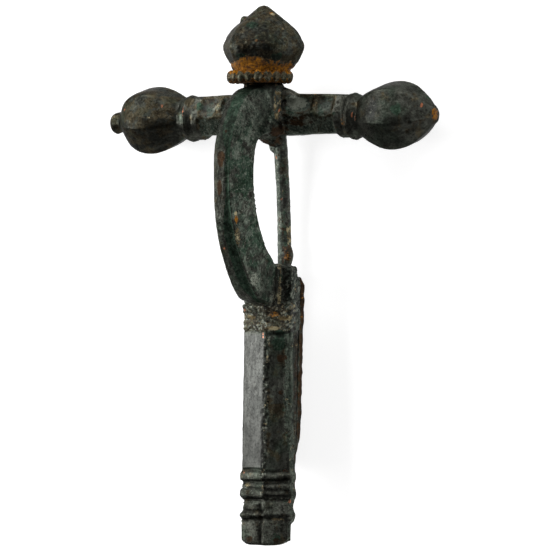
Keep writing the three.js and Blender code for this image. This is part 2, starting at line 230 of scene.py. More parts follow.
# Stains on the body, with some painted shade and painted light: mask, strength, middle, reach
# along x, y, z
BODY_STAINS_AND_PAINTED_LIGHT = [
    # bow, its head and the hinge
    ("brown", 0.9, (-0.1, 17.1, 22.0), (0.9, 1.9, 1.5)),
    ("copper", 0.3, (0.15, 16.7, 22.0), (0.3, 0.8, 1.0)),
    ("brown", 1.0, (-0.3, 12.9, 22.0), (0.6, 1.3, 1.5)),
    ("brown", 0.7, (-0.4, 11.9, 22.0), (0.3, 0.6, 1.5)),
    ("brown", 0.7, (0.2, 21.0, 21.0), (0.35, 0.5, 1.0)),
    ("rust", 0.6, (1.6, 8.2, 20.5), (0.4, 1.0, 0.7)),
    ("crust", 0.9, (1.6, 9.0, 20.7), (0.3, 0.5, 0.5)),
    ("crust", 0.55, (1.5, 6.0, 19.8), (0.35, 2.6, 1.6)),
    ("crust", 0.5, (2.1, 21.8, 15.0), (0.7, 0.8, 0.5)),
    ("rust", 0.45, (2.2, 19.2, 15.4), (0.7, 1.0, 0.5)),
    ("green", 0.7, (0.9, 22.5, 20.0), (1.0, 4.0, 3.5)),
    ("green", 0.6, (2.3, 14.5, 19.0), (0.8, 4.5, 1.6)),
    ("rust", 0.3, (2.4, 22.6, 10.6), (0.8, 1.4, 1.2)),
    ("brown", 0.8, (2.2, 21.6, 9.0), (1.0, 1.2, 2.2)),
    # painted shade, dimming the key light's reflection on the bow's head and along the left of its
    # top
    ("shade", 0.6, (-0.1, 21.5, 20.0), (2.3, 4.5, 4.0)),
    ("shade", 0.4, (-0.9, 14.0, 22.0), (1.2, 9.0, 2.0)),
    # arms
    ("rust", 0.3, (5.5, 23.2, 8.3), (1.4, 0.5, 0.8)),
    ("brown", 0.42, (6.0, 22.8, 8.0), (5.0, 1.2, 1.5)),
    ("light", 0.25, (5.4, 22.9, 8.0), (4.5, 1.2, 1.4)),
    ("pale", 0.6, (-8.1, 25.0, 7.9), (1.3, 1.1, 1.0)),
    ("crust", 0.45, (-8.3, 25.3, 7.9), (1.4, 1.0, 1.0)),
    ("pale", 0.5, (-12.1, 24.6, 8.1), (0.35, 1.6, 1.2)),
    ("copper", 0.5, (-13.6, 24.4, 8.6), (0.16, 1.5, 1.0)),
    ("copper", 0.8, (14.4, 23.6, 8.3), (0.16, 0.7, 1.0)),
    ("copper", 0.6, (14.95, 23.2, 8.2), (0.14, 1.0, 1.0)),
    ("rust", 0.45, (13.0, 23.0, 8.2), (0.9, 1.6, 1.2)),
    # painted shade: the shadow of a notch, drawn in black on the left arm
    ("shade", 0.8, (-10.4, 25.2, 7.8), (0.5, 1.3, 1.3)),
    ("green", 0.6, (-11.3, 25.2, 7.9), (0.7, 1.2, 1.2)),
    # pale-green patina on the right arm's panel, made paler still as painted light where the lamps
    # leave it dark
    ("pale", 1.3, (5.3, 25.4, 8.0), (2.2, 1.5, 1.6)),
    ("warm", 0.5, (5.3, 25.2, 8.0), (2.2, 1.6, 1.6)),
    ("light", 0.85, (5.0, 25.6, 7.9), (2.4, 1.3, 1.5)),
    ("pale", 0.6, (9.7, 25.4, 8.0), (1.2, 1.2, 1.2)),
    ("light", 0.4, (-8.6, 25.2, 8.0), (1.2, 0.8, 1.0)),
    # knobs
    ("copper", 0.55, (-23.3, 24.9, 8.6), (0.4, 0.45, 0.6)),
    ("copper", 0.6, (-17.0, 25.3, 8.7), (0.3, 0.5, 0.6)),
    ("crust", 0.45, (-18.9, 23.6, 9.8), (1.0, 0.3, 0.6)),
    ("copper", 0.5, (-20.2, 23.5, 9.6), (0.9, 0.25, 0.6)),
    ("crust", 0.6, (-26.6, 23.9, 6.4), (0.5, 0.5, 0.5)),
    ("copper", 1.0, (25.2, 24.85, 7.2), (0.22, 0.5, 0.5)),
    ("rust", 0.7, (26.5, 23.6, 5.6), (0.6, 1.4, 1.4)),
    ("rust", 0.5, (25.9, 23.9, 6.4), (0.35, 0.6, 0.6)),
    ("green", 0.7, (22.2, 24.2, 9.4), (1.6, 1.3, 1.4)),
    # worn bare metal on the right knob, with a painted highlight over it
    ("bare", 1.0, (18.3, 24.4, 9.8), (1.4, 2.6, 2.0)),
    ("light", 0.33, (18.3, 24.6, 9.8), (1.2, 1.8, 1.6)),
    # root of the bow and head of the foot
    ("green", 0.8, (2.2, -0.4, 7.6), (0.6, 0.8, 0.8)),
    ("light", 0.3, (1.5, -0.6, 15.0), (1.5, 1.5, 2.0)),
    ("crust", 0.5, (-2.4, -6.2, 7.9), (1.1, 0.4, 0.8)),
    ("crust", 0.5, (3.0, -6.3, 7.8), (1.3, 0.4, 0.8)),
    ("crust", 0.42, (1.3, -7.8, 8.1), (1.6, 0.4, 0.8)),
    ("rust", 0.4, (1.3, -5.7, 8.1), (1.6, 0.8, 1.0)),
    ("copper", 0.5, (-3.7, -5.1, 7.6), (0.4, 0.4, 0.5)),
    ("crust", 0.3, (2.0, -3.2, 9.2), (1.2, 1.4, 1.5)),
    ("light", 0.35, (1.8, -3.4, 9.0), (1.4, 1.4, 1.5)),
    ("brown", 0.2, (2.6, -1.5, 7.6), (1.2, 2.6, 0.9)),
    # faces of the foot
    ("brown", 0.7, (2.7, -12.3, 7.8), (1.3, 1.1, 1.2)),
    ("brown", 0.6, (2.5, -17.3, 7.9), (0.8, 0.7, 1.2)),
    ("copper", 0.42, (-0.3, -8.9, 8.1), (0.35, 1.0, 0.6)),
    # green patina in the hollow at the top of the foot's right face, with painted shade in the
    # hollow
    ("green", 0.8, (2.3, -9.6, 7.8), (1.9, 2.4, 1.2)),
    ("shade", 0.8, (2.3, -8.8, 7.8), (1.6, 0.55, 1.0)),
    # end of the foot
    ("brown", 0.6, (-2.4, -39.1, 8.4), (1.1, 0.8, 0.8)),
    ("brown", 0.5, (2.0, -39.2, 8.4), (0.8, 0.6, 0.8)),
    ("crust", 0.5, (-2.8, -31.1, 8.2), (0.9, 0.5, 0.8)),
    ("crust", 0.5, (2.2, -36.2, 8.3), (1.8, 0.35, 0.8)),
    ("copper", 0.5, (-3.3, -29.3, 8.0), (0.5, 0.25, 0.8)),
    ("copper", 0.5, (3.2, -28.9, 8.0), (0.8, 0.25, 0.8)),
    ("copper", 0.5, (3.9, -33.4, 7.8), (0.3, 0.8, 0.8)),
    ("shade", 0.5, (-2.4, -39.1, 8.4), (1.1, 0.8, 0.8)),
    ("shade", 0.4, (2.0, -39.2, 8.4), (0.8, 0.6, 0.8)),
]


def body_shape():
    shape = merged_copy("cast_body")
    # short neck under the beaded collar, spreading on to the bow head
    add_cone(shape, (-0.1, 27.7, 8.2), 3.2, 2.7, 1.5, (-90, 0, 0))
    add_lump(shape, (2.6, 26.9, 7.2), (2.6, 1.0, 2.0), (0, 0, -14))
    # button on the end of the left knob
    add_lump(shape, (-26.5, BAR_Y - 0.95, BAR_Z - 0.1), (1.0, 1.65, 1.65))
    # corroded mass at the hinge
    add_lump(shape, (-1.2, 20.9, 4.9), (2.2, 1.2, 1.7), (0, 0, -25))
    add_lump(shape, (-0.2, 20.1, 4.4), (1.2, 1.0, 1.2))
    add_lump(shape, (-2.7, 21.4, 6.0), (1.1, 0.9, 1.6))
    add_lump(shape, (0.6, 21.3, 6.4), (2.6, 0.9, 1.5), (0, 0, 16))
    add_lump(shape, (1.9, 22.0, 9.6), (1.15, 1.5, 3.0), (-14, 0, 0))
    # upright rib on the side of the bow head
    add_bar(shape, (2.15, 25.2, 9.2), (1.0, 4.6, 2.1))
    # thicker edge beside the sheath's mouth
    add_bar(shape, (3.5, -4.2, 5.6), (0.8, 7.6, 1.4))
    # thin fin between the bow and the plate at its root
    add_bar(shape, (2.05, -1.3, 7.0), (0.45, 5.6, 1.2), (4, 0, 0))
    return shape


def bow_place(co):
    """Angle round the arch in degrees, and depth under its outer face."""
    y = co[:, 1] - BOW_CENTRE[0]
    z = co[:, 2] - BOW_CENTRE[1]
    angle = np.degrees(np.arctan2(z, y))
    outer = np.interp(angle, *zip(*BOW_OUTER))
    return angle, outer - np.hypot(y, z)


def bow_relief(co, facing, at):
    """The long groove beside the bow's right edge, and the rib on its head."""
    x, y, z = co.T
    angle, at.depth = bow_place(co)
    at.arc = np.radians(angle) * BOW_RADIUS
    at.bow = band(x, 0, 3.1, 0.3) * step(z, 8.8, 9.6) * step(y, -4.6, -4.0) * step(y, 28.4, 27.6)
    outward = facing[:, 2] * np.sin(np.radians(angle)) + facing[:, 1] * np.cos(np.radians(angle))
    at.top = at.bow * step(outward, 0.55, 0.85)
    at.flank = at.bow * step(facing[:, 0], 0.5, 0.8)
    at.widen = step(y, 12, 6) * step(y, -3.6, -1.5)
    middle = np.interp(y, [-4, -1, 5, 12, 18, 24], [1.1, 0.75, 0.7, 0.9, 0.9, 0.75])
    at.groove = at.top * band(x, middle, 0.05 + 0.35 * at.widen + 0.2 * step(y, 18, 22), 0.35)
    height = -at.groove * (0.05 + 0.18 * at.widen + 0.05 * step(y, 21, 16))
    height -= at.top * 0.1 * (x / 1.4) ** 2
    stain_half = 0.15 + 0.45 * at.widen + 0.9 * step(y, 18, 21)
    at.stain = at.top * band(x, middle - 0.15 * at.widen, stain_half, 0.3)
    at.rib = band(z, 9.3, 0.75, 0.35) * band(x, 2.4, 0.6, 0.3) * band(y, 25.2, 2.2, 0.4)
    at.gap = band(z, 7.85, 0.3, 0.35) * band(x, 2.9, 0.4, 0.3) * band(y, 25.2, 2.4, 0.4)
    return height + 0.1 * at.rib * cloud(co, 0.7, 9) - 0.15 * at.gap


def arm_relief(co, facing, at):
    """Scalloped hollows along the upper front of the arms, and the fine reeds by the knobs."""
    x, y, z = co.T
    reach = np.abs(x)
    around = np.degrees(np.arctan2(y - BAR_Y, z - BAR_Z))
    at.arm = band(reach, 7.2, 4.0, 0.2) * band(y, BAR_Y, 4.2, 0.3) * step(z, 10.5, 9.5)
    wave = np.maximum(np.cos((reach - 5.4) / 2.1 * math.pi / 2) * band(reach, 5.4, 2.1, 0.1),
                      np.cos((reach - 9.7) / 1.4 * math.pi / 2) * band(reach, 9.7, 1.4, 0.1))
    lower_edge = 4 - 12 * wave
    panel = at.arm * (band(reach, 5.4, 1.8, 0.45) + band(reach, 9.7, 1.0, 0.4))
    at.hollow = panel * step(around, lower_edge - 3, lower_edge + 3) * step(around, 56, 50)
    at.divider = at.arm * band(reach, 7.95, 0.35, 0.3) * step(around, -5, 5)
    at.brow = at.arm * step(around, 2, -8) * step(reach, 7.5, 5.0)
    at.under = at.arm * step(around, 0, -15)
    at.knobs = step(reach, 15.0, 15.6)
    reeded = band(reach, 13.3, 0.8, 0.1) * band(y, BAR_Y, 4.5, 0.3)
    at.reeds = reeded * (0.5 + 0.5 * np.cos((reach - 12.5) / 0.45 * 2 * math.pi))
    height = 0.07 * at.knobs * step(y, BAR_Y - 3, BAR_Y) - 0.14 * at.hollow
    height += 0.08 * at.brow * cloud(co, 0.9, 10)
    return height - 0.1 * at.reeds


def end_relief(co, face, at):
    """The bars and cuts across the end of the foot, and its pad-like last block."""
    x, y, _ = co.T
    left = at.foot * step(x, 0.25, -0.1)
    right = at.foot * step(x, -0.1, 0.25)
    wobble = y + 0.16 * cloud(co, 1.6, 11, 2)
    cuts = sum(left * deep * band(wobble, place, half, 0.16) for place, half, deep in LEFT_CUTS)
    cuts += sum(right * deep * band(wobble, place, half, 0.16)
                for place, half, deep in RIGHT_CUTS)
    # one cut runs lengthwise down the last block
    cuts += 0.3 * band(x + 0.4 * (wobble - y), -0.55, 0.1, 0.22) * at.foot * step(y, -33.6, -34.0)
    cuts *= face
    at.cuts = np.clip(cuts / 0.3, 0, 1)
    bars = sum(np.sqrt(np.clip(1 - ((wobble - place) / half) ** 2, 0, 1))
               for place, half in END_BARS)
    height = 0.14 * bars * at.foot * face * step(np.abs(x + 0.2), 3.9, 3.3) - cuts
    height += at.foot * 0.42 * np.clip(-x / 4, 0, 1) * step(y, END_START, -33) * face
    height -= at.end * 0.4 * (np.abs(x + 0.5) / 3.6) ** 3
    height += 0.25 * band(x, 0.15, 0.12, 0.3) * at.foot * band(y, -32.6, 0.5, 0.4) * face
    return height, wobble


def foot_relief(co, facing, at):
    """Mouldings at the head of the foot, its ridge, its worn edges and its end."""
    x, y, z = co.T
    face = step(facing[:, 2], 0.5, 0.8)
    outer = step(facing[:, 0], 0.5, 0.8)
    at.foot = step(y, FOOT_HEAD + 0.2, FOOT_HEAD) * step(z, 5.8, 6.4)
    at.side = step(x, 3.2, 3.5) * outer * band(z, 6.0, 1.4, 0.2) * step(y, 2, 1)
    at.end = at.foot * step(y, -36.3, -36.9)
    height, wobble = end_relief(co, face, at)
    height += 0.3 * at.end * step(facing[:, 0], 0.4, 0.8)
    # worn corners at the top of the plate and of the sheath's rear wall, and at its toe
    at.edge = step(x, 2.8, 3.2) * band(z, 6.2, 1.6, 0.2) * step(y, 2, 1)
    height -= 0.2 * at.edge * step(y, 0.7, 1.6)
    height -= 0.4 * step(x, 1.8, 2.3) * step(z, 3.0, 2.4) * step(y, -1.3, -0.3)
    height -= 0.2 * step(x, 1.0, 1.6) * step(z, 5.6, 5.0) * band(y, -29.5, 0.9, 0.6)
    # the rough ridge between the two long faces
    ridge_x = np.interp(y, [-29, -9], [-0.25, 0.05]) + 0.12 * cloud(co, 2.5, 12, 2)
    at.ridge = (at.foot * band(x - ridge_x, 0.3, 0.38, 0.2)
                * step(y, MOULD_END + 0.1, MOULD_END - 0.3) * step(y, -33, -32))
    height += at.ridge * (0.02 + 0.2 * cloud(co, 0.5, 3, 3, (1, 1.8, 1)))
    # crusted mouldings
    at.mould = at.foot * step(y, MOULD_END, MOULD_END + 0.4)
    bar_lines = band(wobble, -4.9, 0.5, 0.3) + band(wobble, -7.1, 0.35, 0.25)
    height += at.mould * (0.16 * bar_lines - 0.08 + 0.2 * cloud(co, 1.0, 5, 3, (1.5, 0.7, 1))
                          + 0.12 * cloud(co, 0.45, 6))
    height -= 0.3 * at.foot * lump(co, (2.3, -8.8, 7.8), (1.7, 0.5, 1.0))
    # the plate's back edge stands out a little, its left end is drawn in
    height += (0.25 * step(x, 3.0, 3.4) * step(facing[:, 0], 0.2, 0.5)
               * step(facing[:, 2], 0, -0.35) * step(y, 2, 1))
    sideways = step(np.abs(facing[:, 0]), 0.5, 0.9)
    return height - 0.048 * sideways * step(y, -28.6, -29.2) * step(x, 0, -1)


def body_relief(co, facing):
    """Heights of the cast and corroded surface, and where each feature lies."""
    x, y, z = co.T
    at = SimpleNamespace()
    height = bow_relief(co, facing, at) + arm_relief(co, facing, at) + foot_relief(co, facing, at)
    at.root = band(y, -2.0, 3.0, 0.8) * step(z, 10.5, 8.8) * step(x, 1.2, 2.0)
    at.fin = band(x, 2.05, 0.25, 0.15) * band(y, -1.3, 2.8, 0.3) * band(z, 7.5, 0.3, 0.2)
    height += at.root * 0.16 * cloud(co, 0.9, 7, 3, (0.7, 1.6, 1))
    at.hinge = np.maximum(lump(co, (-1.0, 20.6, 5.0), (3.6, 2.4, 3.0)),
                          lump(co, (2.4, 21.4, 9.4), (2.0, 1.8, 4.0)))
    height += at.hinge * 0.25 * cloud(co, 0.8, 8)
    at.rear = (band(y, -11.5, 11.9, 2.5) * step(z, 2.6, 2.0) * step(x, 0.8, 1.2)
               * step(facing[:, 0], 0.3, 0.7))
    height += 0.22 * at.rear * (1 + 0.6 * cloud(co, 1.2, 14, 2))
    lip = band(y, -12, 13, 1) * step(x, 0.4, 1.0) * step(z, 0.6, 0.9) * step(z, 2.2, 1.8)
    height += 0.3 * lip * step(facing[:, 2], 0.4, 0.8)

    # a worn skin all over: slow unevenness, grain and pits
    height += 0.05 + (0.06 - 0.03 * at.knobs) * cloud(co, 4.5, 1, 2)
    height += (0.03 - 0.015 * at.knobs) * cloud(co, 1.1, 2, 3)
    at.pits = spots(co, 2.6, 4, 0.16) * step(facing[:, 2], -0.2, 0.2)
    return height - 0.12 * at.pits, at


def body_masks(co, at):
    """How strongly each kind of patina, and the painted shade and painted light, lie at each place
    of the cast body.
    """
    x, y, z = co.T
    cloudy = cloud(co, 2.2, 21, 3)
    fleck = cloud(co, 0.8, 22, 3)
    bits = cloud(co, 0.42, 23, 2)
    blotch = cloud(co, 1.5, 24, 3)
    lengthwise = cloud(co, 0.9, 25, 3, (0.6, 3.0, 1))
    facets = at.foot * step(y, MOULD_END + 0.3, MOULD_END - 0.5) * step(y, END_START, -28.2)
    left = facets * step(x, 0.2, -0.2)
    right = facets * step(x, 0.1, 0.6)
    low_side = at.edge * step(y, -7.5, -9.5) * step(z, 7.0, 6.7)
    below = step(y, BAR_Y - 0.2, BAR_Y - 1.2) * step(np.abs(x), 14, 15)
    neck = step(np.abs(x), 3.6, 3.1)
    upper_flank = at.flank * step(y, 15, 22)
    return dict(
        green=0.1 + 0.45 * cloudy + 1.1 * at.stain + 0.3 * at.flank + 0.3 * at.hollow
        - 0.15 * at.knobs - 0.5 * left,
        warm=0.3 + (0.2 + 0.4 * blotch) * at.knobs * step(x, 1, 0) + 0.35 * at.arm
        + 0.3 * at.mould - 0.3 * facets - 0.15 * at.flank + 0.7 * right * (0.6 + cloudy),
        crust=0.45 * at.ridge * step(fleck, 0.0, 0.4) + 0.3 * at.mould
        + 0.3 * at.cuts * step(fleck, 0.0, 0.6)
        + at.rib * (0.3 + 0.35 * step(fleck, -0.2, 0.4)) + 0.5 * at.fin
        + 0.45 * at.edge * step(fleck, 0.25, 0.6) + 0.25 * at.root * step(bits, 0.2, 0.5),
        rust=0.16 * at.hinge + 0.15 * at.mould + 0.08 * at.root + 0.22 * at.rib
        + 0.35 * step(y, 27.5, 28.0) * neck + 0.3 * at.divider
        + at.rear * (0.1 + 0.35 * step(bits, 0.15, 0.5)),
        brown=0.4 * at.pits + 0.45 * low_side + 0.6 * at.rear + 0.6 * at.hinge
        + 0.25 * at.brow + 0.1 * at.root + 0.3 * below * step(cloudy, -0.2, 0.4),
        # painted light over the patina: the extra pale on the bow's upper flank and on the left of
        # its top, and on the arms' brows and undersides
        pale=0.36 * at.flank + 0.12 * upper_flank + 0.25 * at.flank * step(blotch, 0.05, 0.4)
        + 0.12 * at.top * step(x, 0.2, -0.5) + 0.3 * at.top * step(lengthwise, 0.1, 0.45)
        + 0.3 * at.hinge * step(bits, 0.1, 0.45) + 0.5 * (at.edge - 0.4 * low_side)
        + 0.4 * at.hollow + 0.6 * at.under + 0.25 * at.brow + 0.3 * at.ridge
        + right * (0.12 + 0.25 * step(lengthwise, 0.15, 0.5)),
        # painted light on the bow's upper flank and the arms' undersides; the rest is pale patina,
        # crust and worn edges
        light=0.27 * at.flank + 0.06 * upper_flank + 0.2 * at.hollow + 0.3 * at.under
        + 0.3 * at.fin + 0.25 * (at.edge - low_side) + 0.5 * at.ridge * step(bits, 0.05, 0.3)
        + 0.7 * at.mould * step(bits, 0.1, 0.4) + 0.45 * at.root * step(bits, 0.15, 0.45),
        bare=facets * step(x, 0.2, -0.1),
        matte=0.8 * at.hollow + 0.2 * at.side + 0.5 * at.rib + 0.3 * at.mould,
        copper=0.8 * step(spots(co, 5.0, 31, 0.08), 0.2, 0.5) * (1 - facets),
        streaky=at.bow + facets,
        flecked=0.8 * at.flank + at.mould + at.root + 0.9 * at.top + at.hinge + at.rib
        + 0.7 * step(y, -28.4, -29) * at.foot + 0.6 * at.arm + 0.45 * right
        + at.ridge + at.edge + 0.3 * at.knobs,
        # painted shadow under the beaded collar, and painted shade on the knobs' undersides
        shade=0.85 * step(y, 27.2, 27.7) * neck + 0.45 * below
        + 0.36 * left * step(y, -18, -26)
        + right * (0.12 + 0.3 * step(lengthwise, -0.05, -0.4))
        # painted shade over the left knob, and dark blotches of patina on both knobs
        + at.knobs * (0.14 * step(x, 0, -1) + 0.25 * step(blotch, -0.05, -0.4))
        # dark streaks of patina along the bow's top, and painted shade in its groove
        + 0.35 * at.top * step(lengthwise, 0.0, -0.4) + 0.2 * at.groove
        + 0.4 * at.flank * step(blotch, -0.1, -0.45)
        # the hinge's dark patina, and painted shade in the grooves between the reeds
        + at.hinge * (0.2 + 0.4 * step(bits, 0.1, -0.3)) + 0.3 * at.reeds
        # dark specks on the rib, and painted shade in the gap below it
        + 0.3 * at.rib * step(bits, 0, -0.4) + 0.7 * at.gap
        # painted shade in the cuts across the foot's end, and dark patina in the pits
        + 0.75 * at.cuts + 0.4 * at.pits + 0.2 * at.end + 0.12 * low_side
        + 0.8 * at.ridge * step(bits, 0.15, -0.2) + 0.7 * at.mould * step(bits, -0.1, -0.4)
        + (0.6 * at.root + 0.5 * at.edge) * step(bits, -0.1, -0.45) + 0.25 * at.root)


def make_body():
    piece = fine_object("cast_body_skin", body_shape(), BODY_VOXEL)
    relaxed(piece, 3)
    co = places(piece)
    x, y, z = co.T
    heights, at = body_relief(co, normals(piece))
    pushed(piece, heights)
    inset = np.interp(y, *zip(*END_INSET)) * step(x, -2.9, -3.6)
    put(piece, places(piece) + inset[:, None] * np.array((1, 0, 0)))
    masks = body_masks(co, at)
    add_stains_and_painted_light(masks, BODY_STAINS_AND_PAINTED_LIGHT, co)
    # streaks follow the arch of the bow, and elsewhere the length of the brooch
    flow = np.where((z > 8.6)[:, None], np.stack((x, at.arc, at.depth), axis=1), co)
    stored(piece, flow, **masks)
    finished(piece, "brooch", ["cast_body"], patina("body patina and painted light"))


# ---------------------------------------------------------------- head knob and collar

HEAD_Z = 8.55
COLLAR_CENTRE = Vector((-0.4, 29.4, 9.0))
BEADS = 20
BEAD_RING = 4.3
KNOB_STAINS = [
    ("crust", 0.9, (1.8, 38.5, 9.3), (0.5, 0.4, 0.7)),
    ("rust", 0.5, (1.6, 38.7, 9.4), (0.8, 0.5, 0.8)),
    ("copper", 0.5, (-2.1, 37.9, 10.4), (0.5, 0.5, 0.8)),
    ("green", 0.8, (0.1, 36.9, 12.5), (1.2, 0.9, 1.0)),
    ("rust", 0.5, (1.3, 34.5, 13.7), (1.0, 0.4, 0.8)),
    ("shade", 0.45, (0.7, 33.1, 13.8), (1.8, 0.6, 1.2)),
    ("green", 0.6, (-0.9, 32.5, 13.6), (1.2, 0.6, 1.0)),
    ("crust", 0.6, (4.1, 36.3, 10.4), (0.35, 0.35, 0.5)),
    ("shade", 0.6, (3.6, 32.2, 11.9), (1.0, 0.7, 1.0)),
    ("green", 0.6, (3.7, 32.4, 11.9), (1.2, 0.8, 1.0)),
]


def make_head_knob():
    shape = merged_copy("head_knob")
    # foot of the knob, spreading down on to the beads
    add_cone(shape, (-0.27, 30.6, HEAD_Z + 0.1), 4.15, 4.35, 1.1, (-90, 0, 0))
    add_lump(shape, (-2.8, 37.7, HEAD_Z + 0.8), (0.6, 0.8, 0.7))
    piece = fine_object("head_knob_skin", shape, SMALL_VOXEL)
    relaxed(piece, 4)
    co = places(piece)
    x, y, _ = co.T
    scab = lump(co, (0.9, 34.2, 13.8), (2.6, 1.5, 2.0))
    # the rusted foot ends at a curved line
    low_edge = 31.5 + 0.9 * np.exp(-((x - 0.3) / 2.0) ** 2) + 0.15 * cloud(co, 1.2, 44)
    rusty = step(y, low_edge + 0.75, low_edge - 0.5)
    pits = spots(co, 2.2, 46, 0.15)
    heights = 0.07 + 0.24 * band(y, 32.7, 1.2, 1.2) + 0.05 * cloud(co, 3.0, 41, 2)
    heights += 0.025 * cloud(co, 0.8, 42)
    heights += scab * (0.05 + 0.13 * cloud(co, 0.45, 43, 3, (1.4, 0.7, 1)))
    heights -= 0.1 * lump(co, (0.6, 33.1, 13.8), (1.7, 0.6, 1.0))
    heights -= 0.05 * band(y, low_edge, 0.05, 0.3)
    heights += rusty * 0.07 * cloud(co, 0.6, 45, 3, (1.8, 0.6, 1.8))
    heights -= 0.1 * pits
    pushed(piece, heights)

    fleck = cloud(co, 0.7, 47, 3)
    bits = cloud(co, 0.4, 48, 2)
    front = np.exp(-((x - 0.8) / 2.4) ** 2)
    rust_line = band(y, low_edge + 0.25, 0.2, 0.3)
    masks = dict(
        green=0.2 + 0.25 * fleck,
        warm=0.55 + 0.3 * fleck,
        light=0.3 * scab * step(bits, 0.0, 0.4) + 0.2 * step(fleck, 0.25, 0.6) * (1 - rusty),
        crust=0.3 * scab * step(fleck, -0.2, 0.45) + 0.3 * rust_line * (0.7 + fleck),
        # real rust, thickest at the front of the knob's foot, going brown and darker towards its
        # sides as painted shade
        rust=rusty * (0.34 + 0.33 * front + 0.25 * fleck) + 0.22 * step(y, 33.4, 31.6),
        brown=0.4 * pits + 0.3 * step(fleck, 0.1, 0.6) + 0.5 * rusty * (1 - front)
        + 0.25 * lump(co, (0.8, 34.0, 13.5), (3.8, 3.4, 4.0)),
        flecked=0.6 + 0.4 * scab + 0.3 * rusty,
        # painted shade: both sides of the knob and its middle darkened, the middle where the lamps
        # would reflect, broken by black specks; dark patina in the pits
        shade=0.08 + 0.1 * step(x, -3, -1) + 0.1 * step(x, 1, 3) + 0.4 * pits
        + 0.3 * (1 - rusty) * step(y, 33.4, 32.2)
        + 0.85 * lump(co, (0.8, 34.6, 13.5), (4.0, 4.2, 4.2)) * (0.7 + 1.2 * bits)
        + 0.3 * rusty * (1 - front) * step(bits, 0.1, -0.3))
    add_stains_and_painted_light(masks, KNOB_STAINS, co)
    stored(piece, **masks)
    finished(piece, "brooch", ["head_knob"], patina("knob patina and painted light"))


def make_collar():
    shape = bmesh.new()
    for radius, depth in ((BEAD_RING - 0.1, 1.3), (BEAD_RING - 0.5, 1.8)):
        add_cone(shape, COLLAR_CENTRE, radius, radius, depth, (-90, 0, 0), 64)
    for i in range(BEADS):
        angle = 2 * math.pi * (i + 0.3) / BEADS
        out = Vector((math.sin(angle), 0, math.cos(angle)))
        bmesh.ops.create_icosphere(
            shape, subdivisions=3, radius=1,
            matrix=Matrix.Translation(COLLAR_CENTRE + out * BEAD_RING)
            @ Matrix.Rotation(angle, 4, "Y") @ Matrix.Diagonal((0.72, 1.0, 0.66, 1)))
    piece = fine_object("beaded_collar_skin", shape, SMALL_VOXEL)
    relaxed(piece, 2)
    co = places(piece)
    x, y, z = co.T
    out = np.hypot(x - COLLAR_CENTRE.x, z - COLLAR_CENTRE.z)
    pushed(piece, 0.05 * cloud(co, 1.0, 51) + 0.04 * cloud(co, 0.4, 52))

    fleck = cloud(co, 0.7, 53, 3)
    between = step(out, 4.75, 4.5)
    stored(piece,
           green=0.2 + 0.3 * fleck, warm=0.9, flecked=0.6,
           # painted highlights on the outer tops of the beads
           light=0.3 * step(out, 4.78, 4.9) * step(fleck, -0.1, 0.4),
           crust=0.3 * step(fleck, 0.2, 0.6),
           rust=0.85 * between + 0.5 * step(y, 29.6, 30.2) + 0.35 * step(fleck, 0.0, 0.5),
           brown=0.4 * step(fleck, -0.1, -0.5),
           # painted shade between the beads on the side towards the bow
           shade=0.8 * between * step(y, 29.9, 29.4))
    finished(piece, "brooch", ["beaded_collar"], patina("collar patina and painted light"))


# ---------------------------------------------------------------- pin and axle

PIN_STAINS = [
    ("copper", 0.6, (0.2, 11.4, 3.3), (0.35, 0.3, 0.7)),
    ("copper", 0.5, (-0.2, 17.6, 4.0), (0.3, 0.4, 0.6)),
]


def make_pin():
    shape = merged_copy("pin")
    # rough lumps beside the top of the pin and low on its right
    add_lump(shape, (-0.6, 19.3, 3.4), (0.8, 1.2, 0.8), (0, 0, 20))
    add_lump(shape, (-0.95, 18.9, 3.4), (0.42, 0.34, 0.4))
    add_lump(shape, (1.0, 3.0, 2.3), (0.55, 1.6, 0.6), (0, 0, 4))
    piece = fine_object("pin_skin", shape, SMALL_VOXEL)
    relaxed(piece, 3)
    co = places(piece)
    x, y, z = co.T
    seam = band(x, 0.3, 0.06, 0.15) * step(z, 2.2, 2.8)
    crust_low = lump(co, (0.9, 3.2, 2.4), (0.9, 1.8, 1.4))
    heights = 0.08 + 0.05 * cloud(co, 1.5, 61) + 0.03 * cloud(co, 0.5, 62) - 0.03 * seam
    heights += crust_low * (0.15 + 0.15 * cloud(co, 0.5, 63))
    heights += 0.14 * step(-normals(piece)[:, 0], 0.3, 0.8)
    pushed(piece, heights)

    fleck = cloud(co, 0.8, 64, 3)
    masks = dict(
        green=0.4 + 0.3 * fleck, warm=0.4, flecked=0.7, matte=0.35,
        # painted light: the pin's left side paler and flecked lighter, as if lit from the left
        pale=0.36 + 0.28 * step(x, 0.3, 0.1),
        light=0.45 * step(x, 0.25, 0.0) * step(fleck, -0.15, 0.3),
        crust=0.3 * step(fleck, 0.3, 0.6) + 0.5 * band(x, 1.0, 0.15, 0.1) * band(y, 6, 1.2, 0.4),
        rust=0.45 * crust_low + 0.3 * step(y, 19.4, 20.4),
        brown=0.4 * seam * step(fleck, -0.1, 0.2) + 0.7 * crust_low + 0.4 * step(fleck, 0.2, 0.5),
        # painted shade along the seam of the ridge, and dark specks of patina
        shade=0.3 * seam * step(fleck, 0.0, 0.3) + 0.65 * step(fleck, -0.15, -0.4))
    add_stains_and_painted_light(masks, PIN_STAINS, co)
    stored(piece, **masks)
    finished(piece, "pin", ["pin"], patina("pin patina and painted light"))


def make_axle():
    piece = fine_object("hinge_axle_skin", merged_copy("hinge_axle"), AXLE_VOXEL)
    relaxed(piece, 2)
    pushed(piece, 0.05 * cloud(places(piece), 0.5, 71))
    stored(piece, rust=0.9, brown=1)
    finished(piece, "brooch", ["hinge_axle"], patina("axle rust"))


# ---------------------------------------------------------------- patina and its painted shade and light

